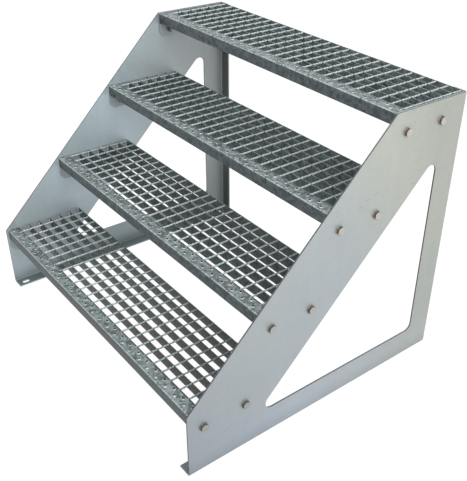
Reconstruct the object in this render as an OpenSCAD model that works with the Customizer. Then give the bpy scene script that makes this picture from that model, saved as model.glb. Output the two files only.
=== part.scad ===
// Four-step staircase: two folded sheet stringers and four bolted grating treads.
// Sizes are in millimetres. X runs along the treads, Y from the front to the rear and
// Z up. The origin is on the floor, under the middle of the stair.

/* [Flight] */
// Height from one tread to the next
rise = 192.5; // [150:0.5:220]
// Distance from one nosing to the next
going = 194; // [160:1:300]
// Distance from the stringers' front edge back to the first nosing
front_gap = 5.5; // [4:0.5:60]

/* [Stringers] */
// Thickness of the folded sheet
sheet_t = 4; // [3:0.5:8]
// Drop from the first tread to the lower end of the sloping edge
edge_drop = 2.5; // [0:0.5:3.5]
// Inside radius of the sheet's folds
fold_r = 3; // [1:0.5:6]
// Width of the foot and rear flanges, over the sheet
flange_w = 40; // [34:1:80]
// Clearance between the top tread and the rear flanges
rear_gap = 0.3; // [0.2:0.1:20]
// Sheet left between the sloping edge and the cut-out, square to the slope
slope_band = 217; // [130:1:260]
// Sheet left behind the cut-out
rear_band = 78; // [40:1:120]
// Sheet left under the cut-out
foot_band = 81; // [30:1:120]
// Radius of the cut-out's corners
cut_r = 20; // [5:1:30]

/* [Anchor slots] */
// Width of a slot
slot_w = 14; // [9:0.5:18]
// Length of a slot, end to end
slot_l = 24; // [20:1:60]
// Distance from the stringer's outer face to the slots
slot_in = 25; // [21:0.5:28]
// Distance from each end of the foot to the middle of its slot
slot_end = 25; // [20:1:120]

/* [Treads] */
// Length of a tread over its end plates
tread_l = 1000; // [400:10:1400]
// Depth of a tread, from its nosing to its rear face
tread_d = 240; // [205:1:320]
// Thickness of the end plates
plate_t = 3; // [2:0.5:6]
// Height of the end plates
plate_h = 75; // [70:1:100]
// Chamfer on the lower corners of the end plates
plate_chamfer = 12; // [2:1:15]
// Distance that the end plates stop short of the tread's rear face
plate_setback = 6; // [6:0.5:12]

/* [Gratings] */
// Pitch of the bearing bars
bar_pitch = 34.3; // [20:0.1:50]
// Thickness of the bearing bars
bar_t = 2; // [2:0.5:5]
// Height of the bearing bars
bar_h = 30; // [20:1:40]
// Pitch of the cross rods
rod_pitch = 38.5; // [25:0.5:100]
// Width and height of the cross rods
rod_w = 5; // [3:0.5:8]
// Distance from the right end plate to the first cross rod of each tread
first_rods = [4, 24, 14.5, 10.5]; // [3:0.5:24]

/* [Nosings] */
// Depth of the nosing's top
nosing_d = 30; // [20:1:60]
// Height of the nosing's front
nosing_h = 32; // [20:1:60]
// Thickness of the nosing sheet
nosing_t = 3; // [1.5:0.5:5]
// Inside radius of the nosing's fold
nosing_r = 1.5; // [0.5:0.5:4]

/* [Tread bolts] */
// Diameter of the bolt holes
bolt_hole_d = 14; // [9:0.5:18]
// Distance from the nosing to the front bolt
bolt_front = 38; // [25:1:60]
// Distance between the two bolts of an end plate
bolt_spacing = 120; // [80:1:150]
// Depth of the bolts under the top of the tread
bolt_drop = 53; // [45:1:60]

/* [Hidden] */
$fn = 64;
// How far a cutting tool passes beyond the metal
past = 1;
steps = 4;

top_z = steps * rise;
top_tread_y = front_gap + (steps - 1) * going;
stair_d = top_tread_y + tread_d + rear_gap + sheet_t;
edge_rise = top_z - (rise - edge_drop);
edge_l = norm([top_tread_y, edge_rise]);
fold_outer = fold_r + sheet_t;
foot_l = stair_d - fold_outer;
inner_l = tread_l - 2 * plate_t;
bolt_ys = [bolt_front, bolt_front + bolt_spacing];
bar_count = floor((tread_d - bar_t - nosing_d) / bar_pitch);

sheet_colour = [0.66, 0.69, 0.70];
plate_colour = [0.48, 0.50, 0.51];
grating_colour = [0.38, 0.41, 0.42];
nosing_colour = [0.50, 0.53, 0.54];

// Y at height z, and height at y, of the sloping edge moved inwards by d
function slope_y(z, d) = top_tread_y - (top_z - z) * top_tread_y / edge_rise + d * edge_l / edge_rise;
function slope_z(y, d) = top_z - (top_tread_y - y) * edge_rise / top_tread_y - d * edge_l / top_tread_y;

function rod_count(k) = 1 + floor((inner_l - first_rods[k - 1] - rod_w / 2) / rod_pitch);

// Turns a shape drawn in Y and Z to stand upright, with its thickness along +X
module upright(thickness) {
    rotate([90, 0, 90]) linear_extrude(thickness) children();
}

// Quarter of a fold around the Z axis, in the quadrant of +X and +Y
module fold(inner_r, thickness, length) {
    rotate_extrude(angle = 90) translate([inner_r, 0]) square([thickness, length]);
}

// Places a tread's pieces: Y from its nosing, Z from its top
module at_tread(k) {
    translate([0, front_gap + (k - 1) * going - stair_d / 2, k * rise]) children();
}

// Stringer: a sheet with a sloping edge, folded inwards along its foot and up its rear.
// Drawn with its outer face on X = 0 and its front edge on Y = 0.

module web_outline() {
    polygon([
        [0, fold_outer], [0, rise - edge_drop], [top_tread_y, top_z],
        [foot_l, top_z], [foot_l, fold_outer]
    ]);
}

// Three-sided cut-out with round corners, parallel to the sloping edge
module cut_out_outline() {
    low = foot_band + cut_r;
    back = stair_d - rear_band - cut_r;
    inset = slope_band + cut_r;
    front_c = [slope_y(low, inset), low];
    rear_c = [back, low];
    top_c = [back, slope_z(back, inset)];
    to_slope = cut_r * [-edge_rise, top_tread_y] / edge_l;
    for (centre = [front_c, rear_c, top_c])
        translate(centre) circle(cut_r);
    polygon([
        front_c - [0, cut_r], rear_c - [0, cut_r],
        rear_c + [cut_r, 0], top_c + [cut_r, 0],
        top_c + to_slope, front_c + to_slope
    ]);
}

module bolt_hole_outlines() {
    for (k = [1 : steps], y = bolt_ys)
        translate([front_gap + (k - 1) * going + y, k * rise - bolt_drop]) circle(d = bolt_hole_d);
}

// Long hole through the foot, running along Y
module anchor_slot() {
    side = (slot_l - slot_w) / 2;
    for (y = [-side, side])
        translate([0, y, -past]) cylinder(h = sheet_t + 2 * past, d = slot_w);
    translate([-slot_w / 2, -side, -past]) cube([slot_w, 2 * side, sheet_t + 2 * past]);
}

module foot() {
    difference() {
        translate([-flange_w, 0, 0]) cube([flange_w - fold_outer, foot_l, sheet_t]);
        for (y = [slot_end, foot_l - slot_end])
            translate([-slot_in, y, 0]) anchor_slot();
    }
    translate([-fold_outer, 0, fold_outer]) rotate([-90, 0, 0]) fold(fold_r, sheet_t, foot_l);
}

module rear_flange() {
    height = top_z - fold_outer;
    translate([-flange_w, stair_d - sheet_t, fold_outer])
        cube([flange_w - fold_outer, sheet_t, height]);
    translate([-fold_outer, foot_l, fold_outer]) fold(fold_r, sheet_t, height);
}

module stringer() {
    color(sheet_colour) {
        translate([-sheet_t, 0, 0]) upright(sheet_t) difference() {
            web_outline();
            cut_out_outline();
            bolt_hole_outlines();
        }
        foot();
        rear_flange();
    }
}

module right_stringer() {
    translate([tread_l / 2 + sheet_t, -stair_d / 2, 0]) stringer();
}

module left_stringer() {
    mirror([1, 0, 0]) right_stringer();
}

// Nosing: an angle of punched sheet that closes the front of the tread

module nosing(k) {
    outer_r = nosing_r + nosing_t;
    color(nosing_colour) at_tread(k) translate([-inner_l / 2, 0, 0]) {
        translate([0, 0, -nosing_h]) cube([inner_l, nosing_t, nosing_h - outer_r]);
        translate([0, outer_r, -outer_r]) mirror([0, 1, 0]) rotate([90, 0, 90])
            fold(nosing_r, nosing_t, inner_l);
        translate([0, outer_r, -nosing_t]) cube([inner_l, nosing_d - outer_r, nosing_t]);
    }
}

// Grating: bearing bars along the tread, tied by cross rods set in flush with their tops

module bearing_bar(rear_y) {
    translate([-inner_l / 2, rear_y - bar_t, -bar_h]) cube([inner_l, bar_t, bar_h]);
}

module grating(k) {
    color(grating_colour) at_tread(k) {
        for (i = [1 : bar_count])
            bearing_bar(tread_d - i * bar_pitch);
        for (i = [0 : rod_count(k) - 1])
            translate([inner_l / 2 - first_rods[k - 1] - i * rod_pitch - rod_w / 2, nosing_d, -rod_w])
                cube([rod_w, tread_d - bar_t - nosing_d, rod_w]);
    }
}

module rear_bar(k) {
    color(grating_colour) at_tread(k) bearing_bar(tread_d);
}

// End plate: a flat plate that carries one end of the tread and takes its two bolts

module right_end_plate(k) {
    rear = tread_d - plate_setback;
    color(plate_colour) at_tread(k) translate([inner_l / 2, 0, 0]) upright(plate_t) difference() {
        polygon([
            [0, 0], [0, plate_chamfer - plate_h], [plate_chamfer, -plate_h],
            [rear - plate_chamfer, -plate_h], [rear, plate_chamfer - plate_h], [rear, 0]
        ]);
        for (y = bolt_ys)
            translate([y, -bolt_drop]) circle(d = bolt_hole_d);
    }
}

module left_end_plate(k) {
    mirror([1, 0, 0]) right_end_plate(k);
}

left_stringer();
right_stringer();
nosing(1);  // nosing_1
grating(1);  // grating_1
rear_bar(1);  // rear_bar_1
left_end_plate(1);  // left_end_plate_1
right_end_plate(1);  // right_end_plate_1
nosing(2);  // nosing_2
grating(2);  // grating_2
rear_bar(2);  // rear_bar_2
left_end_plate(2);  // left_end_plate_2
right_end_plate(2);  // right_end_plate_2
nosing(3);  // nosing_3
grating(3);  // grating_3
rear_bar(3);  // rear_bar_3
left_end_plate(3);  // left_end_plate_3
right_end_plate(3);  // right_end_plate_3
nosing(4);  // nosing_4
grating(4);  // grating_4
rear_bar(4);  // rear_bar_4
left_end_plate(4);  // left_end_plate_4
right_end_plate(4);  // right_end_plate_4
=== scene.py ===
import math
import random

import bmesh
import bpy
from bpy.props import FloatProperty, FloatVectorProperty, PointerProperty
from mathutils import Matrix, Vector


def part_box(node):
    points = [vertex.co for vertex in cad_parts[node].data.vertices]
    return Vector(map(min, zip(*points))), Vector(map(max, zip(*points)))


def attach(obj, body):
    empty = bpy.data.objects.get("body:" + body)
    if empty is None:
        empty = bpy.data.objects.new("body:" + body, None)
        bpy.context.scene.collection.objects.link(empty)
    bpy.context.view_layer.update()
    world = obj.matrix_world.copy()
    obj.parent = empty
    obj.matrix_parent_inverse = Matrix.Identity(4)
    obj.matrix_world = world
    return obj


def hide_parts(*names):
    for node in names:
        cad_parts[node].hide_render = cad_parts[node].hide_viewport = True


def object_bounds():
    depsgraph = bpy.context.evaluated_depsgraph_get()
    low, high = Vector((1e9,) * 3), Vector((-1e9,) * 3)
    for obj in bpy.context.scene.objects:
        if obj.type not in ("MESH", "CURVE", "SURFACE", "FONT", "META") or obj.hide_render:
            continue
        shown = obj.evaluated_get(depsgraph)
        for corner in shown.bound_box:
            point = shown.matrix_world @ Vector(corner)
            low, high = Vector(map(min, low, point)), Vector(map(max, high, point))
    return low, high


bl_info = {
    "name": "Steel staircase",
    "version": (1, 0, 0),
    "blender": (4, 5, 0),
    "location": "3D View > Sidebar > Staircase",
    "description": "Finishes and small parts of a four-step galvanised staircase",
    "category": "Object",
}

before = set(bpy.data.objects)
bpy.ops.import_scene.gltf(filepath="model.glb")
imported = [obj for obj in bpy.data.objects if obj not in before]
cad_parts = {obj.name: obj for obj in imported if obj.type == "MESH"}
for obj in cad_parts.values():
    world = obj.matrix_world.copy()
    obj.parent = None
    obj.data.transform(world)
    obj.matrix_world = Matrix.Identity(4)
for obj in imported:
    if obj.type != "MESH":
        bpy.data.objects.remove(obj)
CAD_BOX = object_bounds()

MM = 0.001
TREADS = (1, 2, 3, 4)
SIDES = (-1, 1)
# Distance from the right end plate to the first cross rod of each tread
FIRST_RODS = {1: 4 * MM, 2: 24 * MM, 3: 14.5 * MM, 4: 10.5 * MM}
FLOOR_Z = CAD_BOX[0].z
HALF_WIDTH = CAD_BOX[1].x


# Settings

def length(name, description, millimetres, low, high):
    """Length property in metres, from a default and limits in millimetres."""
    return FloatProperty(
        name=name, description=description, default=millimetres * MM,
        min=low * MM, max=high * MM, unit="LENGTH", precision=4,
    )


def share(name, description, default, high=1.0):
    return FloatProperty(
        name=name, description=description, default=default, min=0.0, max=high, subtype="FACTOR",
    )


def colour(name, description, default):
    return FloatVectorProperty(
        name=name, description=description, default=default,
        size=3, min=0.0, max=1.0, subtype="COLOR",
    )


class GratingSizes(bpy.types.PropertyGroup):
    """Sizes of the bar gratings"""
    bar_pitch: length("Bar pitch", "Distance between the bearing bars", 34.3, 20, 50)
    bar_thickness: length("Bar thickness", "Thickness of a bearing bar", 2, 1, 5)
    bar_height: length("Bar height", "Height of a bearing bar", 30, 20, 40)
    bar_edge: length("Bar edge", "Rounding along the bars' long edges", 0.35, 0.1, 0.9)
    rod_pitch: length("Rod pitch", "Distance between the cross rods", 38.5, 25, 100)
    rod_side: length("Rod side", "Side of the square bar that the rods are twisted from", 3.7, 2.5, 7)
    rod_twist: length("Twist", "Length of one whole turn of a rod", 42, 15, 120)
    rod_wander: share("Rod wander", "How unevenly the rods are twisted", 0.35)
    bead_length: length("Bead length", "Length of the pressed metal at a crossing", 7.5, 3, 15)
    bead_width: length("Bead width", "Width of the pressed metal at a crossing", 5.2, 3, 12)


class NosingSizes(bpy.types.PropertyGroup):
    """Sizes of the punched nosings"""
    sheet: length("Sheet", "Thickness of the nosing sheet", 3, 1, 5)
    fold: length("Fold", "Outside radius of the nosing's fold", 4.5, 2, 8)
    hole_pitch: length("Hole pitch", "Distance between the holes of one row", 39.8, 20, 80)
    hole: length("Hole", "Diameter of a punched hole", 6.4, 3, 9)
    collar: length("Collar", "Width of the raised metal round a hole", 2.4, 0.5, 3)
    rise: length("Rise", "Height of the raised metal round a hole", 2.0, 0.2, 3)
    margin: length("Margin", "Plain strip in front of and behind the holes", 1.0, 0.5, 5)


class BoltSizes(bpy.types.PropertyGroup):
    """Sizes of the tread bolts"""
    thread: length("Thread", "Diameter of the bolts", 12, 8, 16)
    flats: length("Across flats", "Width of the heads and nuts across their flats", 19, 13, 24)
    head: length("Head height", "Height of the heads", 6.4, 5, 12)
    nut: length("Nut height", "Height of the nuts", 10, 6, 14)
    washer: length("Washer", "Diameter of the washers", 23, 18, 34)
    washer_thickness: length("Washer thickness", "Thickness of the washers", 2, 1, 4)
    thread_pitch: length("Thread pitch", "Distance from one thread to the next", 1.75, 1, 2.5)
    thread_end: length("Thread end", "How far a bolt stands past its nut", 5, 2, 12)
    front: length("Front bolt", "Distance from the nosing to the front bolt", 38, 25, 60)
    spacing: length("Spacing", "Distance between the two bolts of an end plate", 120, 80, 150)
    drop: length("Drop", "Depth of the bolts under the top of the tread", 53, 45, 60)


class WeldSizes(bpy.types.PropertyGroup):
    """Sizes of the welds between the bars and the end plates"""
    leg: length("Leg", "Leg of a weld bead", 3.2, 1.5, 6)
    ripple: length("Ripple", "Height of the ripples on a bead", 0.45, 0, 1.2)
    ripple_pitch: length("Ripple pitch", "Distance between the ripples", 3, 1, 6)


class FinishColours(bpy.types.PropertyGroup):
    """Colours of the zinc, with painted light and shade"""
    # The two sheet tones below are painted light: cooler and darker near the floor, warmer and lighter near the
    # top.
    sheet_low_shaded: colour("Sheet, low", "Stringer sheet near the floor", (0.312, 0.355, 0.410))
    sheet_high_lit: colour("Sheet, high", "Stringer sheet near the top", (0.492, 0.515, 0.470))
    # Painted light: the left stringer's sheet gets its own lighter, bluish tone.
    left_sheet_painted_light: colour("Left sheet", "Sheet of the left stringer", (0.430, 0.505, 0.540))
    # The cut edge colour also serves as painted shade on the rear flange's front face.
    cut_edge_and_shade: colour("Cut edge", "Cut edges of the stringer sheet", (0.090, 0.088, 0.096))
    plate: colour("End plate", "End plates of the treads", (0.385, 0.415, 0.420))
    # Painted shade: the bearing bar colour is the zinc darkened for the shade between the bars; it also serves
    # as painted shadow on other parts.
    bar: colour("Bearing bar", "Sides of the bearing bars", (0.178, 0.215, 0.220))
    rod: colour("Cross rod", "Twisted cross rods and bar tops", (0.54, 0.61, 0.595))
    nosing: colour("Nosing", "Top of the nosings", (0.165, 0.196, 0.200))
    # Painted shade: the nosings' front faces get a darker copy of the nosing zinc.
    nosing_front_shade: colour("Nosing front", "Front face of the nosings", (0.094, 0.116, 0.124))
    bolt: colour("Bolt", "Bolts, nuts and washers", (0.56, 0.525, 0.455))
    # This colour stands for real grime and also for painted shade in the holes, on the lower treads and on the
    # bolts' flats.
    dirt_and_shade: colour("Dirt", "Dirt in the holes and corners", (0.035, 0.035, 0.032))


class StageSettings(bpy.types.PropertyGroup):
    """Floor, light and camera"""
    floor_size: FloatProperty(
        name="Floor size", description="Side of the floor", default=60.0, min=4.0, unit="LENGTH",
    )
    floor_colour: colour("Floor", "Colour of the floor", (0.84, 0.84, 0.84))
    floor_glow: share("Floor whiteness", "Share of plain white in what the camera sees", 0.80)
    ambient: FloatProperty(
        name="Ambient", description="Light from all round", default=0.50, min=0.0, max=2.0,
    )
    key: FloatProperty(
        name="Key lamp", description="Power of the large soft lamp", default=170.0, min=0.0, unit="POWER",
    )
    top: FloatProperty(
        name="Top lamp", description="Power of the lamp overhead", default=95.0, min=0.0, unit="POWER",
    )
    lens: FloatProperty(
        name="Lens", description="Focal length", default=55.229, min=20.0, max=200.0, unit="CAMERA",
    )


SETTINGS = {
    "stair_grating": GratingSizes,
    "stair_nosing": NosingSizes,
    "stair_bolt": BoltSizes,
    "stair_weld": WeldSizes,
    "stair_finish": FinishColours,
    "stair_stage": StageSettings,
}


# Shader writing

class Value:
    """Output of a shader node. Sums written with it become Math nodes."""

    def __init__(self, finish, socket):
        self.finish = finish
        self.socket = socket

    def math(self, operation, *operands, clamp=False):
        settings = {"operation": operation, "use_clamp": clamp}
        return self.finish.node("ShaderNodeMath", settings, dict(enumerate(operands)))[0]

    def __add__(self, other):
        return self.math("ADD", self, other)

    def __radd__(self, other):
        return self.math("ADD", other, self)

    def __sub__(self, other):
        return self.math("SUBTRACT", self, other)

    def __rsub__(self, other):
        return self.math("SUBTRACT", other, self)

    def __mul__(self, other):
        return self.math("MULTIPLY", self, other)

    def __rmul__(self, other):
        return self.math("MULTIPLY", other, self)

    def __truediv__(self, other):
        return self.math("DIVIDE", self, other)

    def __pow__(self, other):
        return self.math("POWER", self, other)

    def above(self, level):
        """1 where the value is above the level, and 0 elsewhere."""
        return self.math("GREATER_THAN", self, level)

    def size(self):
        return self.math("ABSOLUTE", self)

    def held(self):
        """The value, kept between 0 and 1."""
        return self.math("ADD", self, 0.0, clamp=True)

    def between(self, low, high):
        """0 at low and 1 at high, straight between them."""
        settings = {"clamp": True}
        inputs = {"Value": self, "From Min": low, "From Max": high}
        return self.finish.node("ShaderNodeMapRange", settings, inputs)[0]


class Outputs:
    """Outputs of one node, by name or number."""

    def __init__(self, finish, node):
        self.finish = finish
        self.node = node

    def __getitem__(self, key):
        return Value(self.finish, self.node.outputs[key])


class Finish:
    """Shader tree of a material or of the world, under construction."""

    def __init__(self, owner):
        owner.use_nodes = True
        self.owner = owner
        self.tree = owner.node_tree
        self.tree.nodes.clear()

    def node(self, kind, settings=None, inputs=None):
        """Adds a node. Settings come first, then socket values or links."""
        node = self.tree.nodes.new(kind)
        for name, value in (settings or {}).items():
            if name == "stops":
                ramp = node.color_ramp.elements
                while len(ramp) < len(value):
                    ramp.new(0.5)
                for element, (position, tone) in zip(ramp, value):
                    element.position = position
                    element.color = (*tone, 1.0)
            else:
                setattr(node, name, value)
        for key, value in (inputs or {}).items():
            if isinstance(value, Value):
                self.tree.links.new(value.socket, node.inputs[key])
            elif node.inputs[key].type == "RGBA":
                node.inputs[key].default_value = (*value, 1.0)
            else:
                node.inputs[key].default_value = value
        return Outputs(self, node)

    def place(self):
        """Position in the stair's frame, in metres."""
        return self.node("ShaderNodeTexCoord")["Object"]

    def parts(self, vector):
        """X, Y and Z of a vector, as three values."""
        split = self.node("ShaderNodeSeparateXYZ", inputs={0: vector})
        return split[0], split[1], split[2]

    def scaled(self, vector, factors):
        return self.node("ShaderNodeVectorMath", {"operation": "MULTIPLY"}, {0: vector, 1: factors})[0]

    def noise(self, vector, scale, detail=2.0, roughness=0.5):
        """Smooth random value from 0 to 1."""
        inputs = {"Vector": vector, "Scale": scale, "Detail": detail, "Roughness": roughness}
        return self.node("ShaderNodeTexNoise", inputs=inputs)[0]

    def crystals(self, vector, scale):
        """Random value from 0 to 1, one for each zinc crystal."""
        cells = self.node("ShaderNodeTexVoronoi", inputs={"Vector": vector, "Scale": scale})
        return self.node("ShaderNodeSeparateColor", inputs={0: cells["Color"]})[0]

    def mixed(self, factor, first, second):
        """First colour where the factor is 0 and second where it is 1."""
        return self.node("ShaderNodeMix", {"data_type": "RGBA"}, {0: factor, 6: first, 7: second})[2]

    def shaded(self, tone, factor):
        """Colour multiplied by a value."""
        white = self.node("ShaderNodeCombineColor", inputs={0: factor, 1: factor, 2: factor})[0]
        settings = {"data_type": "RGBA", "blend_type": "MULTIPLY"}
        return self.node("ShaderNodeMix", settings, {0: 1.0, 6: tone, 7: white})[2]

    def bump(self, height, distance, strength=1.0):
        inputs = {"Height": height, "Distance": distance, "Strength": strength}
        return self.node("ShaderNodeBump", inputs=inputs)["Normal"]

    def surface(self, **sockets):
        """Ends the tree with a Principled surface."""
        named = {name.replace("_", " "): value for name, value in sockets.items()}
        shader = self.node("ShaderNodeBsdfPrincipled", inputs=named)["BSDF"]
        self.node("ShaderNodeOutputMaterial", inputs={"Surface": shader})
        return self.owner


def new_finish(name):
    return Finish(bpy.data.materials.new(name))


# Zinc finishes

def sheet_zinc(tones):
    """Stringer sheet: even zinc with faint runs and a dark, rough cut edge, under painted light that makes it
    cooler and darker near the floor.
    """
    f = new_finish("stringer_zinc")
    place = f.place()
    x, y, z = f.parts(place)
    cloud = f.noise(place, 3.1, 3.0)
    mottle = f.noise(place, 46.0, 3.0, 0.6)
    runs = f.noise(f.scaled(place, (26.0, 26.0, 1.6)), 1.0, 3.0, 0.55)
    brushed = f.noise(f.scaled(place, (300.0, 14.0, 420.0)), 1.0, 2.0)
    crystal = f.crystals(place, 85.0)
    rear = y.between(0.02, 0.33)
    # Painted light: with height and towards the rear the sheet goes from the cooler, darker low tone to the
    # warmer, lighter high tone, broken up by a cloud of noise.
    rise = (z / 0.77 * 0.75 + cloud * 0.55 - 0.25 + 0.6 * rear).held()
    tone = f.mixed(rise, tones.sheet_low_shaded, tones.sheet_high_lit)
    # Painted light: the left stringer gets its own lighter, bluish tone, turning to the end plate colour
    # towards the rear.
    left = f.shaded(f.mixed(rear, tones.left_sheet_painted_light, tones.plate), 0.92 + 0.2 * cloud)
    tone = f.mixed(1 - x.above(0.0), tone, left)
    # Painted light: the sheet gets lighter from its front end back towards the middle, more so near the floor,
    # and darker towards the rear; the rest of this factor is mottle, runs, crystals, brushing and scuffs.
    depth = y.between(CAD_BOX[0].y, -0.10)
    scuffs = f.noise(f.scaled(place, (40.0, 34.0, 150.0)), 1.0, 3.0, 0.6).between(0.60, 0.72)
    scuffs = scuffs * f.noise(place, 4.5, 1.0).between(0.52, 0.62)
    wear_and_painted_light = 0.81 + 0.08 * mottle + 0.10 * runs + 0.045 * crystal + 0.03 * brushed + 0.12 * depth
    wear_and_painted_light = wear_and_painted_light - 0.17 * scuffs - 0.20 * rear + 0.12 * depth * z.between(0.16, 0.02)
    tone = f.shaded(tone, wear_and_painted_light)
    specks = f.noise(place, 190.0, 1.0).between(0.79, 0.83) * f.noise(place, 9.0).between(0.5, 0.7)
    tone = f.mixed(0.6 * specks, tone, tones.dirt_and_shade)
    foot = (z.between(0.05, 0.0) * (0.25 + 0.5 * mottle)).held()
    tone = f.mixed(0.35 * foot, tone, tones.dirt_and_shade)
    nx, ny, nz = f.parts(f.node("ShaderNodeNewGeometry")["Normal"])
    web = x.size().above(HALF_WIDTH - 4.2 * MM) * z.above(FLOOR_Z + 8 * MM)
    edge = web * nx.size().between(0.6, 0.3) * (1 - y.above(CAD_BOX[1].y - 8 * MM))
    worn = edge * (0.75 + 0.25 * mottle)
    tone = f.mixed(worn, tone, tones.cut_edge_and_shade)
    # The tops of the feet are darkened to the shaded bearing bar colour, and a painted shadow lies low on the
    # front of the left stringer.
    foot_top = nz.between(0.4, 0.9) * (1 - z.above(FLOOR_Z + 12 * MM))
    shadowed = (1 - x.above(0.0)) * z.between(0.24, 0.09) * y.between(-0.37, -0.22)
    tone = f.mixed((0.80 * foot_top + 0.62 * shadowed).held(), tone, tones.bar)
    # Painted shade: the rear flange's front-facing side is darkened to the cut edge colour.
    inward = y.above(CAD_BOX[1].y - 5 * MM) * ny.between(-0.4, -0.9)
    tone = f.mixed(0.75 * inward, tone, tones.cut_edge_and_shade)
    rough = 0.40 + 0.12 * cloud + 0.10 * runs + 0.08 * crystal + 0.1 * edge
    height = 0.45 * mottle + 0.15 * brushed + 0.25 * runs
    return f.surface(
        Base_Color=tone, Metallic=0.55, Roughness=rough, Normal=f.bump(height, 0.35 * MM, 0.5),
    )


def plate_zinc(tones):
    """End plates: hot-dipped zinc with visible crystals and thicker runs."""
    f = new_finish("end_plate_zinc")
    place = f.place()
    crystal = f.crystals(place, 110.0)
    fine = f.noise(place, 160.0, 2.0)
    runs = f.noise(f.scaled(place, (30.0, 30.0, 4.0)), 1.0, 3.0, 0.55)
    # The runs take the stringer sheet's low tone as their colour.
    tone = f.shaded(f.mixed(runs, tones.plate, tones.sheet_low_shaded), 0.80 + 0.16 * crystal + 0.14 * fine)
    rough = 0.42 + 0.16 * crystal + 0.1 * fine
    height = 0.5 * runs + 0.3 * fine
    return f.surface(
        Base_Color=tone, Metallic=0.5, Roughness=rough, Normal=f.bump(height, 0.4 * MM, 0.6),
    )


def bar_zinc(tones):
    """Bearing bars: zinc with painted shade on their sides and on the lower treads, paler where feet polish
    their tops.
    """
    f = new_finish("bearing_bar_zinc")
    place = f.place()
    crystal = f.crystals(place, 140.0)
    fine = f.noise(place, 230.0, 2.0)
    runs = f.noise(f.scaled(place, (60.0, 60.0, 16.0)), 1.0, 3.0, 0.6)
    nz = f.parts(f.node("ShaderNodeNewGeometry")["Normal"])[2]
    top = nz.between(0.35, 0.8)
    # Painted shade: the sides take the darkened bearing bar colour.
    sides = f.shaded(tones.bar, 0.14 + 0.95 * crystal + 0.85 * fine)
    polished = f.shaded(tones.rod, 0.62 + 0.2 * fine + 0.16 * crystal)
    tone = f.mixed(top * 0.16, sides, polished)
    drips = (runs.between(0.56, 0.72) * 0.45).held()
    tone = f.mixed(drips, tone, tones.plate)
    x, y, z = f.parts(place)
    # Painted shade: the bars darken on the lower treads, most towards the right.
    lower_tread_shade = 0.50 * x.between(-0.30, 0.35) * z.between(0.42, 0.18) + 0.27 * z.between(0.80, 0.35)
    tone = f.mixed(lower_tread_shade, tone, tones.dirt_and_shade)
    rough = 0.46 + 0.14 * crystal + 0.12 * fine
    height = 0.5 * runs + 0.35 * fine
    return f.surface(
        Base_Color=tone, Metallic=0.45, Roughness=rough, Normal=f.bump(height, 0.5 * MM, 0.7),
    )


def rod_zinc(tones):
    """Cross rods and welds: bright rounded zinc with thick and thin spots, with painted shade underneath and on
    the lower treads.
    """
    f = new_finish("cross_rod_zinc")
    place = f.place()
    fine = f.noise(place, 300.0, 2.0)
    patch = f.noise(place, 75.0, 2.0)
    nz = f.parts(f.node("ShaderNodeNewGeometry")["Normal"])[2]
    # Painted shade: the undersides of the rods take the darkened bearing bar colour.
    under = nz.between(0.15, -0.6)
    tone = f.shaded(tones.rod, 0.66 + 0.28 * patch + 0.24 * fine)
    tone = f.mixed(0.75 * under, tone, tones.bar)
    x, y, z = f.parts(place)
    # Painted shade: the rods darken on the lower treads towards the right.
    lower_tread_shade = x.between(-0.25, 0.40) * z.between(0.42, 0.18)
    tone = f.mixed(0.72 * lower_tread_shade, tone, tones.bar)
    rough = 0.34 + 0.2 * patch + 0.1 * fine
    return f.surface(
        Base_Color=tone, Metallic=0.5, Roughness=rough, Normal=f.bump(fine + patch, 0.35 * MM, 0.7),
    )


def nosing_zinc(tones):
    """Nosings: sparkling zinc on top, with painted shade on the front and in the holes and painted highlights
    on the raised rims and the fold.
    """
    f = new_finish("nosing_zinc")
    place = f.place()
    nx, ny, nz = f.parts(f.node("ShaderNodeNewGeometry")["Normal"])
    crystal = f.crystals(place, 120.0)
    fine = f.noise(place, 300.0, 2.0)
    patch = f.noise(place, 48.0, 3.0, 0.6)
    runs = f.noise(f.scaled(place, (34.0, 34.0, 9.0)), 1.0, 3.0, 0.6)
    top = nz.between(0.1, 0.75)
    # Painted shade: the front faces take the darker front colour.
    front = f.shaded(tones.nosing_front_shade, 0.12 + 0.95 * crystal + 0.55 * fine + 0.25 * runs)
    x, y, z = f.parts(place)
    # Painted shade: the fronts of the lower nosings darken further.
    front = f.mixed(0.22 * z.between(0.30, 0.18), front, tones.dirt_and_shade)
    face = f.shaded(tones.nosing, 0.05 + 1.15 * crystal + 0.65 * fine + 0.12 * patch)
    tone = f.mixed(top, front, face)
    # Painted highlight: the sloped faces of the raised rims and of the fold are paled to the cross rod colour
    # in ragged streaks.
    slope = nz.between(0.25, 0.55) * nz.between(0.97, 0.8)
    ragged = f.noise(place, 210.0, 2.0).between(0.36, 0.56)
    tone = f.mixed(0.95 * slope * ragged, tone, tones.rod)
    # Painted shade: the walls inside the punched holes are darkened.
    inside = nz.between(0.3, 0.1) * ny.size().between(0.99, 0.9)
    tone = f.mixed(0.92 * inside, tone, tones.dirt_and_shade)
    rough = 0.36 + 0.24 * crystal + 0.12 * fine
    height = 0.6 * fine + 0.4 * patch + 0.3 * runs
    return f.surface(
        Base_Color=tone, Metallic=0.5, Roughness=rough, Normal=f.bump(height, 0.5 * MM, 0.8),
    )


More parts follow.
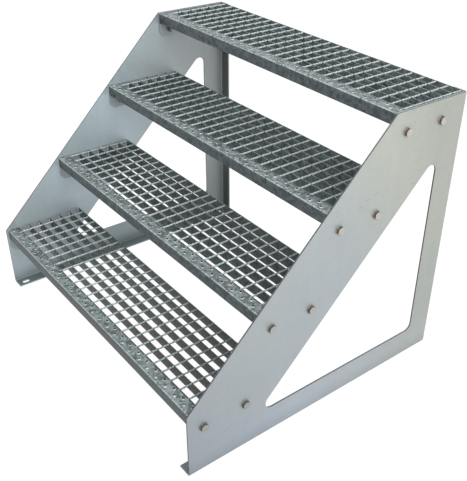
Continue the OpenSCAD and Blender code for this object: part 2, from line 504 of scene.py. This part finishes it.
def bolt_zinc(tones):
    """Bolts, nuts and washers: warm plated zinc with patches of grime, and painted shade on the flats and on
    the lower and inner bolts.
    """
    f = new_finish("bolt_zinc")
    place = f.place()
    fine = f.noise(place, 520.0, 2.0)
    patch = f.noise(place, 130.0, 3.0, 0.6)
    nx = f.parts(f.node("ShaderNodeNewGeometry")["Normal"])[0]
    face = nx.size().between(0.55, 0.95)
    x, y, z = f.parts(place)
    # Painted shade: the bolts on the lower treads and the nuts and threads inside the end plates go darker and
    # towards the end plate colour.
    low_and_inner_shade = (z.between(0.62, 0.12) + (1 - x.size().above(HALF_WIDTH - 5 * MM))).held()
    tone = f.shaded(f.mixed(0.8 * low_and_inner_shade, tones.bolt, tones.plate), 0.74 + 0.3 * patch + 0.2 * fine - 0.22 * low_and_inner_shade)
    # Painted shade: the flats of the heads and nuts are darkened, while the end faces keep the bright tone.
    side = f.shaded(f.mixed(0.80, tones.bolt, tones.dirt_and_shade), 0.7 + 0.4 * patch)
    tone = f.mixed(face, side, tone)
    tone = f.mixed(patch.between(0.60, 0.78) * 0.5, tone, tones.dirt_and_shade)
    rough = 0.30 + 0.25 * patch + 0.1 * fine
    return f.surface(
        Base_Color=tone, Metallic=0.75, Roughness=rough, Normal=f.bump(fine + patch, 0.2 * MM, 0.6),
    )


ZINCS = {
    "stringer_zinc": sheet_zinc,
    "end_plate_zinc": plate_zinc,
    "bearing_bar_zinc": bar_zinc,
    "cross_rod_zinc": rod_zinc,
    "nosing_zinc": nosing_zinc,
    "bolt_zinc": bolt_zinc,
}


def zinc(scene, name):
    """Material of that name, made the first time that it is asked for."""
    found = bpy.data.materials.get(name)
    return found if found else ZINCS[name](scene.stair_finish)


def coat_node(scene, node, name):
    """Gives a packed node its finish."""
    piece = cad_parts[node]
    piece.data.materials.clear()
    piece.data.materials.append(zinc(scene, name))


# Shape building

class Shape:
    """Points and faces of one piece, in metres in the stair's frame."""

    def __init__(self):
        self.points = []
        self.faces = []
        self.finishes = []
        self.finish = 0

    def face(self, *numbers):
        self.faces.append(numbers)
        self.finishes.append(self.finish)

    def ring(self, points):
        """Adds points and returns their numbers."""
        first = len(self.points)
        self.points.extend(points)
        return list(range(first, len(self.points)))

    def bridge(self, first, second):
        """Joins two closed rings of as many points with a band of faces."""
        count = len(first)
        for i in range(count):
            j = (i + 1) % count
            self.face(first[i], first[j], second[j], second[i])

    def loft(self, rings, capped=True):
        """Body through closed rings of points."""
        numbers = [self.ring(points) for points in rings]
        for first, second in zip(numbers, numbers[1:]):
            self.bridge(first, second)
        if capped:
            self.face(*reversed(numbers[0]))
            self.face(*numbers[-1])

    def piece(self, name, materials, slot, stands_for=(), sharp=35.0):
        """Makes the object, and has it ride on the stair."""
        mesh = bpy.data.meshes.new(name)
        mesh.from_pydata(self.points, [], self.faces)
        for polygon, finish in zip(mesh.polygons, self.finishes):
            polygon.material_index = finish
        work = bmesh.new()
        work.from_mesh(mesh)
        bmesh.ops.remove_doubles(work, verts=work.verts, dist=0.002 * MM)
        bmesh.ops.recalc_face_normals(work, faces=work.faces)
        work.to_mesh(mesh)
        work.free()
        mesh.shade_smooth()
        mesh.set_sharp_from_angle(angle=math.radians(sharp))
        for material in materials:
            mesh.materials.append(material)
        made = bpy.data.objects.new(name, mesh)
        bpy.context.scene.collection.objects.link(made)
        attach(made, "root")
        if stands_for:
            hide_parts(*stands_for)
        return made


def section_along_x(shape, x_start, x_end, outline):
    """Straight body along X from an outline in Y and Z."""
    shape.loft([[(x, y, z) for y, z in outline] for x in (x_start, x_end)])


# Nosings

def nosing_cell(shape, corner, size, steps, thickness, hole):
    """One field of the nosing's top, plain or with a raised hole through it.

    The corner and size are in X and Y, and the top lies at the corner's Z.
    """
    x0, y0, top = corner
    nx, ny = steps
    xs = [x0 + size[0] * i / nx for i in range(nx + 1)]
    ys = [y0 + size[1] * i / ny for i in range(ny + 1)]
    if hole is None:
        for level in (top, top - thickness):
            rows = [shape.ring([(x, y, level) for x in xs]) for y in ys]
            for front, back in zip(rows, rows[1:]):
                for i in range(nx):
                    shape.face(front[i], front[i + 1], back[i + 1], back[i])
        return
    rim = [(x, ys[0]) for x in xs[:-1]] + [(xs[-1], y) for y in ys[:-1]]
    rim += [(x, ys[-1]) for x in reversed(xs[1:])] + [(xs[0], y) for y in reversed(ys[1:])]
    cx, cy = x0 + size[0] / 2, y0 + size[1] / 2
    start = math.atan2(ys[0] - cy, xs[0] - cx)
    turns = [start + math.tau * i / len(rim) for i in range(len(rim))]
    radius, collar, rise = hole

    def circle(r, height):
        return [(cx + r * math.cos(t), cy + r * math.sin(t), top + height) for t in turns]

    shape.loft([
        [(x, y, top) for x, y in rim],
        circle(radius + collar, 0.0),
        circle(radius + 0.62 * collar, 0.55 * rise),
        circle(radius + 0.40 * collar, 0.95 * rise),
        circle(radius + 0.18 * collar, rise),
        circle(radius, 0.85 * rise),
        circle(radius, -0.55 * thickness),
        circle(radius + 0.75 * collar, -thickness),
        [(x, y, top - thickness) for x, y in rim],
    ], capped=False)


def punched_nosing(scene, tread):
    """Angle of sheet with two staggered rows of raised holes along its top."""
    sizes = scene.stair_nosing
    low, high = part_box(f"nosing_{tread}")
    front, top = low.y, high.z
    shape = Shape()
    columns = 2 * round((high.x - low.x) / sizes.hole_pitch)
    width = (high.x - low.x) / columns
    nx, ny = 4, 3
    first_y = front + sizes.fold + sizes.margin
    depth = (high.y - sizes.margin - first_y) / 2
    draw = random.Random(50 + tread)
    for column in range(columns):
        for row in range(2):
            corner = (low.x + column * width, first_y + row * depth, top)
            hole = (sizes.hole / 2 * draw.uniform(0.9, 1.0), sizes.collar, sizes.rise * draw.uniform(0.75, 1.1))
            punched = hole if (column + row) % 2 == 0 else None
            nosing_cell(shape, corner, (width, depth), (nx, ny), sizes.sheet, punched)

    outer, inner = sizes.fold, sizes.fold - sizes.sheet
    arc = [math.radians(a) for a in (90, 72, 54, 36, 18, 0)]
    cy, cz = front + outer, top - outer
    rows_y = [first_y + depth * 2 * i / (2 * ny) for i in range(2 * ny + 1)]
    middle_z = (low.z + cz) / 2
    outside = [(first_y, top)] + [(cy - outer * math.sin(a), cz + outer * math.cos(a)) for a in reversed(arc)]
    outside += [(front, middle_z), (front, low.z)]
    inside = [(front + sizes.sheet, low.z), (front + sizes.sheet, middle_z)]
    inside += [(cy - inner * math.sin(a), cz + inner * math.cos(a)) for a in arc]
    inside += [(first_y, top - sizes.sheet)]
    rear = [
        (rows_y[-1], top - sizes.sheet), (high.y - 0.3 * MM, top - sizes.sheet),
        (high.y, top - sizes.sheet + 0.3 * MM), (high.y, top - 0.3 * MM),
        (high.y - 0.3 * MM, top), (rows_y[-1], top),
    ]
    xs = [low.x + width * i / nx for i in range(columns * nx + 1)]
    for line in (outside + inside, rear):
        rows = [shape.ring([(x, y, z) for x in xs]) for y, z in line]
        for one, two in zip(rows, rows[1:]):
            for i in range(len(xs) - 1):
                shape.face(one[i], one[i + 1], two[i + 1], two[i])
    upper = [(y, top) for y in reversed(rows_y[1:-1])]
    lower = [(y, top - sizes.sheet) for y in rows_y[1:-1]]
    for x in (low.x, high.x):
        outline = outside + inside + lower + rear + upper
        shape.face(*shape.ring([(x, y, z) for y, z in outline]))
    shape.piece(
        f"punched_nosing_{tread}", [zinc(scene, "nosing_zinc")], "punched_nosing",
        stands_for=(f"nosing_{tread}",), sharp=50.0,
    )


# Gratings

def bar_outline(rear, top, sizes):
    """Outline of a bearing bar in Y and Z, with softened edges."""
    front, bottom, e = rear - sizes.bar_thickness, top - sizes.bar_height, sizes.bar_edge
    return [
        (front + e, bottom), (rear - e, bottom), (rear, bottom + e), (rear, top - e),
        (rear - e, top), (front + e, top), (front, top - e), (front, bottom + e),
    ]


def twisted_rod(shape, x, y_start, y_end, top, sizes, draw):
    """Square bar twisted along Y, its highest edges at the top of the tread."""
    reach = sizes.rod_side * math.sqrt(0.5)
    waist = sizes.rod_side * 0.5
    centre = top - reach
    count = max(8, round((y_end - y_start) / (2.6 * MM)))
    turn = draw.uniform(0.0, math.tau)
    wander = sizes.rod_wander
    rings = []
    for i in range(count + 1):
        y = y_start + (y_end - y_start) * i / count
        ring = []
        for corner in range(8):
            angle = turn + corner * math.tau / 8
            r = reach * 0.97 if corner % 2 == 0 else waist * 1.1
            ring.append((x + r * math.cos(angle), y, centre + r * math.sin(angle)))
        rings.append(ring)
        turn += math.tau * (y_end - y_start) / count / sizes.rod_twist * (1 + wander * draw.uniform(-1, 1))
    shape.loft(rings)


def pressed_bead(shape, x, y, top, sizes, draw):
    """Lump of metal where a rod is pressed and welded into a bar."""
    half_l = sizes.bead_length / 2 * draw.uniform(0.85, 1.1)
    half_w = sizes.bead_width / 2 * draw.uniform(0.85, 1.1)
    depth = sizes.rod_side * 0.62
    rings = []
    for along in (-1.0, -0.72, -0.25, 0.25, 0.72, 1.0):
        girth = math.sqrt(max(0.0, 1 - along * along)) * 0.8 + 0.2
        ring = []
        for i in range(8):
            angle = math.tau * (i + 0.5) / 8
            ring.append((
                x + half_w * girth * math.cos(angle),
                y + half_l * along,
                top - depth + depth * girth * math.sin(angle) * 1.04,
            ))
        rings.append(ring)
    shape.loft(rings)


def bar_grating(scene, tread):
    """Bearing bars along the tread with twisted rods pressed into them."""
    sizes = scene.stair_grating
    draw = random.Random(100 + tread)
    nosing_low, nosing_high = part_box(f"nosing_{tread}")
    rear_low, rear_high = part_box(f"rear_bar_{tread}")
    top = rear_high.z
    shape = Shape()
    bars = []
    rear = rear_high.y - sizes.bar_pitch
    while rear - sizes.bar_thickness > nosing_high.y:
        section_along_x(shape, rear_low.x, rear_high.x, bar_outline(rear, top, sizes))
        bars.append(rear - sizes.bar_thickness / 2)
        rear -= sizes.bar_pitch
    shape.finish = 1
    x = rear_high.x - FIRST_RODS[tread]
    while x - sizes.rod_side / 2 > rear_low.x:
        lean = draw.uniform(-0.4, 0.4) * MM
        twisted_rod(shape, x + lean, nosing_high.y - 0.6 * MM, rear_low.y, top, sizes, draw)
        for y in bars:
            pressed_bead(shape, x + lean, y, top, sizes, draw)
        x -= sizes.rod_pitch
    shape.piece(
        f"bar_grating_{tread}", [zinc(scene, "bearing_bar_zinc"), zinc(scene, "cross_rod_zinc")],
        "galvanised_grating", stands_for=(f"grating_{tread}",),
    )
    return bars


# Bolts

def across_x(x, y, z, side, turns, radii):
    """Ring round a bolt's axis, which runs along X."""
    return [(side * x, y + r * math.cos(t), z + r * math.sin(t)) for t, r in zip(turns, radii)]


def hexagon(shape, start, end, y, z, side, flats, turn, both_ends):
    """Hexagon head or nut along X, with its corners turned off."""
    count = 24
    turns = [math.tau * i / count for i in range(count)]
    sixth = math.tau / 6
    full = [flats / 2 / math.cos((t + turn) % sixth - sixth / 2) for t in turns]
    eased = [min(r, flats / 2 * 1.02) for r in full]
    turned = [min(r, flats / 2 * 0.93) for r in full]
    direction = 1 if end > start else -1
    cut = 0.9 * MM * direction
    rings = []
    if both_ends:
        rings += [(start, turned), (start + 0.3 * cut, eased)]
    rings += [(start + cut if both_ends else start, full), (end - 1.5 * cut, full)]
    rings += [(end - 0.35 * cut, eased), (end, turned)]
    rings += [(end - 0.15 * cut, [r * 0.88 for r in turned]), (end - 0.6 * cut, [r * 0.72 for r in turned])]
    rings += [(end - 0.6 * cut, [r * 0.3 for r in turned])]
    shape.loft([across_x(x, y, z, side, turns, radii) for x, radii in rings])


def washer(shape, start, end, y, z, side, diameter):
    count = 32
    turns = [math.tau * i / count for i in range(count)]
    edge = 0.4 * MM if end > start else -0.4 * MM
    r = diameter / 2
    steps = [(start, r - 0.3 * MM), (start + edge, r), (end - edge, r), (end, r - 0.5 * MM), (end, r * 0.6)]
    shape.loft([across_x(x, y, z, side, turns, [radius] * count) for x, radius in steps])


def thread(shape, start, end, y, z, side, diameter, pitch):
    """Threaded end with a bevelled tip."""
    count = 24
    turns = [math.tau * i / count for i in range(count)]
    crest, root = diameter / 2, diameter / 2 - 0.6 * pitch
    rings = [(start, root)]
    x = start
    while x - pitch > end + 0.8 * MM:
        rings += [(x - 0.25 * pitch, crest), (x - 0.45 * pitch, crest), (x - 0.85 * pitch, root)]
        x -= pitch
    rings += [(end + 0.8 * MM, crest), (end, root * 0.9)]
    shape.loft([across_x(x, y, z, side, turns, [r] * count) for x, r in rings])


def tread_bolt(shape, y, z, side, sheet_x, plate_x, sizes, draw):
    """Bolt with its head outside the stringer and its nut inside the end plate."""
    thick = sizes.washer_thickness
    washer(shape, sheet_x, sheet_x + thick, y, z, side, sizes.washer)
    head = sheet_x + thick
    hexagon(shape, head, head + sizes.head, y, z, side, sizes.flats, draw.uniform(0, 1), False)
    washer(shape, plate_x, plate_x - thick, y, z, side, sizes.washer)
    nut = plate_x - thick
    hexagon(shape, nut, nut - sizes.nut, y, z, side, sizes.flats, draw.uniform(0, 1), True)
    start = nut - sizes.nut + 1 * MM
    thread(shape, start, nut - sizes.nut - sizes.thread_end, y, z, side, sizes.thread, sizes.thread_pitch)


# Welds

def weld_bead(shape, y, away, side, plate_x, z_low, z_high, sizes, draw):
    """Rippled bead up the corner between a bar and an end plate."""
    steps = round((z_high - z_low) / (1.0 * MM))
    phase = draw.uniform(0, math.tau)
    rings = []
    for i in range(steps + 1):
        z = z_low + (z_high - z_low) * i / steps
        fade = min(1.0, 2.2 * min(i, steps - i) / steps + 0.35)
        leg = (sizes.leg + sizes.ripple * math.sin(phase + math.tau * (z - z_low) / sizes.ripple_pitch)) * fade
        ring = [(side * plate_x, y, z)]
        for share_in, share_off in ((0.0, 1.0), (0.42, 0.82), (0.7, 0.6), (0.84, 0.34), (1.0, 0.0)):
            ring.append((side * (plate_x - leg * share_in), y + away * leg * share_off, z))
        rings.append(ring)
    shape.loft(rings)


# Operators

class STAIR_OT_stage(bpy.types.Operator):
    """Makes the floor, the light and the camera"""
    bl_idname = "stair.stage"
    bl_label = "Stage"

    def execute(self, context):
        stage = context.scene.stair_stage
        context.scene.view_settings.view_transform = "Standard"
        self.make_world(context.scene, stage)
        self.make_floor(context.scene, stage)
        self.make_lamp(context.scene, "key_lamp", (4.6, -1.0, 3.3), 3.2, stage.key, (1.0, 0.985, 0.96))
        self.make_lamp(context.scene, "top_lamp", (-0.6, 0.9, 4.6), 3.6, stage.top, (0.97, 0.985, 1.0))
        self.make_camera(context.scene, stage)
        return {"FINISHED"}

    def make_world(self, scene, stage):
        world = bpy.data.worlds.new("studio")
        scene.world = world
        f = Finish(world)
        path = f.node("ShaderNodeLightPath")
        seen = (path["Is Camera Ray"] + path["Is Glossy Ray"] + path["Is Transmission Ray"]).held()
        level = stage.ambient
        light = f.node("ShaderNodeBackground", inputs={"Color": (level, level, level), "Strength": 1.0})[0]
        white = f.node("ShaderNodeBackground", inputs={"Color": (1.0, 1.0, 1.0), "Strength": 1.0})[0]
        mix = f.node("ShaderNodeMixShader", inputs={0: seen, 1: light, 2: white})[0]
        f.node("ShaderNodeOutputWorld", inputs={"Surface": mix})

    def make_floor(self, scene, stage):
        f = new_finish("studio_floor")
        path = f.node("ShaderNodeLightPath")
        seen = (path["Is Camera Ray"] + path["Is Glossy Ray"] + path["Is Transmission Ray"]).held()
        matt = f.node("ShaderNodeBsdfDiffuse", inputs={"Color": tuple(stage.floor_colour)})[0]
        white = f.node("ShaderNodeEmission", inputs={"Color": (1.0, 1.0, 1.0), "Strength": 1.14})[0]
        lit = f.node("ShaderNodeMixShader", inputs={0: seen * stage.floor_glow, 1: matt, 2: white})[0]
        clear = f.node("ShaderNodeBsdfTransparent")[0]
        under = f.node("ShaderNodeNewGeometry")["Backfacing"]
        mix = f.node("ShaderNodeMixShader", inputs={0: under, 1: lit, 2: clear})[0]
        f.node("ShaderNodeOutputMaterial", inputs={"Surface": mix})
        half = stage.floor_size / 2
        mesh = bpy.data.meshes.new("floor")
        corners = [(-half, -half), (half, -half), (half, half), (-half, half)]
        mesh.from_pydata([(x, y, FLOOR_Z) for x, y in corners], [], [(0, 1, 2, 3)])
        mesh.materials.append(f.owner)
        floor = bpy.data.objects.new("floor", mesh)
        scene.collection.objects.link(floor)

    def make_lamp(self, scene, name, place, size, power, tone):
        lamp = bpy.data.lights.new(name, "AREA")
        lamp.shape = "SQUARE"
        lamp.size = size
        lamp.energy = power
        lamp.color = tone
        made = bpy.data.objects.new(name, lamp)
        made.location = place
        middle = (CAD_BOX[0] + CAD_BOX[1]) / 2
        made.rotation_euler = (middle - Vector(place)).to_track_quat("-Z", "Y").to_euler()
        scene.collection.objects.link(made)

    def make_camera(self, scene, stage):
        camera = bpy.data.cameras.new("camera")
        camera.lens = stage.lens
        camera.sensor_width = 36.0
        camera.shift_x = -0.0717
        camera.shift_y = 0.0229
        made = bpy.data.objects.new("camera", camera)
        made.location = (1.51495, -1.03751, 1.39153)
        made.rotation_euler = [math.radians(a) for a in (57.3052, -1.3805, 51.0853)]
        scene.collection.objects.link(made)
        scene.camera = made


class STAIR_OT_stringers(bpy.types.Operator):
    """Coats the two stringers"""
    bl_idname = "stair.stringers"
    bl_label = "Stringers"

    def execute(self, context):
        for side in ("left", "right"):
            coat_node(context.scene, f"{side}_stringer", "stringer_zinc")
        return {"FINISHED"}


class STAIR_OT_end_plates(bpy.types.Operator):
    """Coats the end plates and the rear bars of the treads"""
    bl_idname = "stair.end_plates"
    bl_label = "End plates and rear bars"

    def execute(self, context):
        for tread in TREADS:
            for side in ("left", "right"):
                coat_node(context.scene, f"{side}_end_plate_{tread}", "end_plate_zinc")
            coat_node(context.scene, f"rear_bar_{tread}", "bearing_bar_zinc")
        return {"FINISHED"}


class STAIR_OT_nosings(bpy.types.Operator):
    """Makes the punched nosings"""
    bl_idname = "stair.nosings"
    bl_label = "Punched nosings"

    def execute(self, context):
        for tread in TREADS:
            punched_nosing(context.scene, tread)
        return {"FINISHED"}


class STAIR_OT_gratings(bpy.types.Operator):
    """Makes the bar gratings with their twisted rods"""
    bl_idname = "stair.gratings"
    bl_label = "Bar gratings"

    def execute(self, context):
        for tread in TREADS:
            bar_grating(context.scene, tread)
        return {"FINISHED"}


class STAIR_OT_bolts(bpy.types.Operator):
    """Makes the tread bolts with their washers and nuts"""
    bl_idname = "stair.bolts"
    bl_label = "Tread bolts"

    def execute(self, context):
        sizes = context.scene.stair_bolt
        for tread in TREADS:
            draw = random.Random(200 + tread)
            low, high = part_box(f"nosing_{tread}")
            shape = Shape()
            for side in SIDES:
                for y in (low.y + sizes.front, low.y + sizes.front + sizes.spacing):
                    tread_bolt(shape, y, high.z - sizes.drop, side, HALF_WIDTH, high.x, sizes, draw)
            shape.piece(
                f"tread_bolts_{tread}", [zinc(context.scene, "bolt_zinc")], "galvanised_plate", sharp=28.0,
            )
        return {"FINISHED"}


class STAIR_OT_welds(bpy.types.Operator):
    """Makes the welds that hold the bearing bars to the end plates"""
    bl_idname = "stair.welds"
    bl_label = "Welds"

    def execute(self, context):
        sizes = context.scene.stair_weld
        grating = context.scene.stair_grating
        for tread in TREADS:
            draw = random.Random(300 + tread)
            nosing_low, nosing_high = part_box(f"nosing_{tread}")
            rear_low, rear_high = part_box(f"rear_bar_{tread}")
            shape = Shape()
            rear = rear_high.y - grating.bar_pitch
            while rear - grating.bar_thickness > nosing_high.y:
                for side in SIDES:
                    for y, away in ((rear, 1), (rear - grating.bar_thickness, -1)):
                        weld_bead(
                            shape, y, away, side, rear_high.x, rear_high.z - grating.bar_height + 2 * MM,
                            rear_high.z - 4 * MM, sizes, draw,
                        )
                rear -= grating.bar_pitch
            shape.piece(
                f"tread_welds_{tread}", [zinc(context.scene, "cross_rod_zinc")], "galvanised_grating",
            )
        return {"FINISHED"}


PIECE_OPERATORS = (
    STAIR_OT_stage, STAIR_OT_stringers, STAIR_OT_end_plates, STAIR_OT_nosings,
    STAIR_OT_gratings, STAIR_OT_bolts, STAIR_OT_welds,
)


class STAIR_PT_parts(bpy.types.Panel):
    """Lists the staircase's pieces and their settings"""
    bl_idname = "STAIR_PT_parts"
    bl_label = "Staircase"
    bl_space_type = "VIEW_3D"
    bl_region_type = "UI"
    bl_category = "Staircase"

    def draw(self, context):
        for operator in PIECE_OPERATORS:
            self.layout.operator(operator.bl_idname)
        for name, group in SETTINGS.items():
            box = self.layout.box()
            box.label(text=group.__doc__)
            for setting in group.__annotations__:
                box.prop(getattr(context.scene, name), setting)


def register():
    for group in SETTINGS.values():
        bpy.utils.register_class(group)
    for name, group in SETTINGS.items():
        setattr(bpy.types.Scene, name, PointerProperty(type=group))
    for operator in PIECE_OPERATORS:
        bpy.utils.register_class(operator)
    bpy.utils.register_class(STAIR_PT_parts)


def unregister():
    bpy.utils.unregister_class(STAIR_PT_parts)
    for operator in reversed(PIECE_OPERATORS):
        bpy.utils.unregister_class(operator)
    for name in SETTINGS:
        delattr(bpy.types.Scene, name)
    for group in SETTINGS.values():
        bpy.utils.unregister_class(group)


def main():
    register()
    bpy.ops.stair.stage()
    bpy.ops.stair.stringers()
    bpy.ops.stair.end_plates()
    bpy.ops.stair.nosings()
    bpy.ops.stair.gratings()
    bpy.ops.stair.bolts()
    bpy.ops.stair.welds()


if __name__ == "__main__":
    main()
